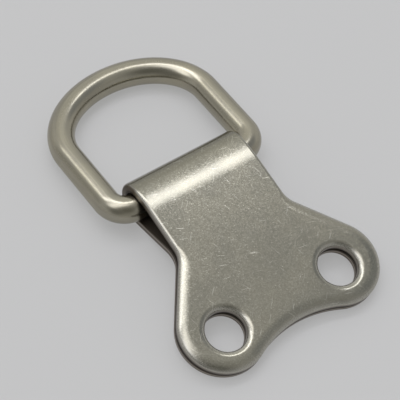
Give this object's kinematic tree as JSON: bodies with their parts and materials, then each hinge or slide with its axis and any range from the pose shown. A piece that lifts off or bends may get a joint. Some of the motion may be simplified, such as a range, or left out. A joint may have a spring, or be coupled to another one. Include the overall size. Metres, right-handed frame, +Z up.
{
  "type": "picture hook",
  "caption": "Strap hanger for picture frames: a round-wire D-ring swings in the rolled eye of a folded steel plate that flares into two round ears with screw holes.",
  "frame": {"origin": "middle of the hook's footprint on the table that it lies on, pictured face up", "axes": "+Z up from the table, +Y from the plate's ears towards the ring's bow, +X to the right seen from above with the ring away from the viewer"},
  "size_m": [0.022, 0.035, 0.0048],
  "materials": {
    "plate_nickel": "satin nickel plate on pressed sheet steel, finely scuffed",
    "ring_nickel": "semi-bright nickel plate on drawn steel wire"
  },
  "bodies": {
    "plate": {"folded_plate": "plate_nickel"},
    "ring": {"d_ring": "ring_nickel"}
  },
  "joints": [
    {"name": "ring_swing", "type": "hinge", "parent": "plate", "child": "ring", "pos_m": [0, 0.00166, 0.00237], "axis": [1, 0, 0], "range_deg": [-160, 170]}
  ]
}
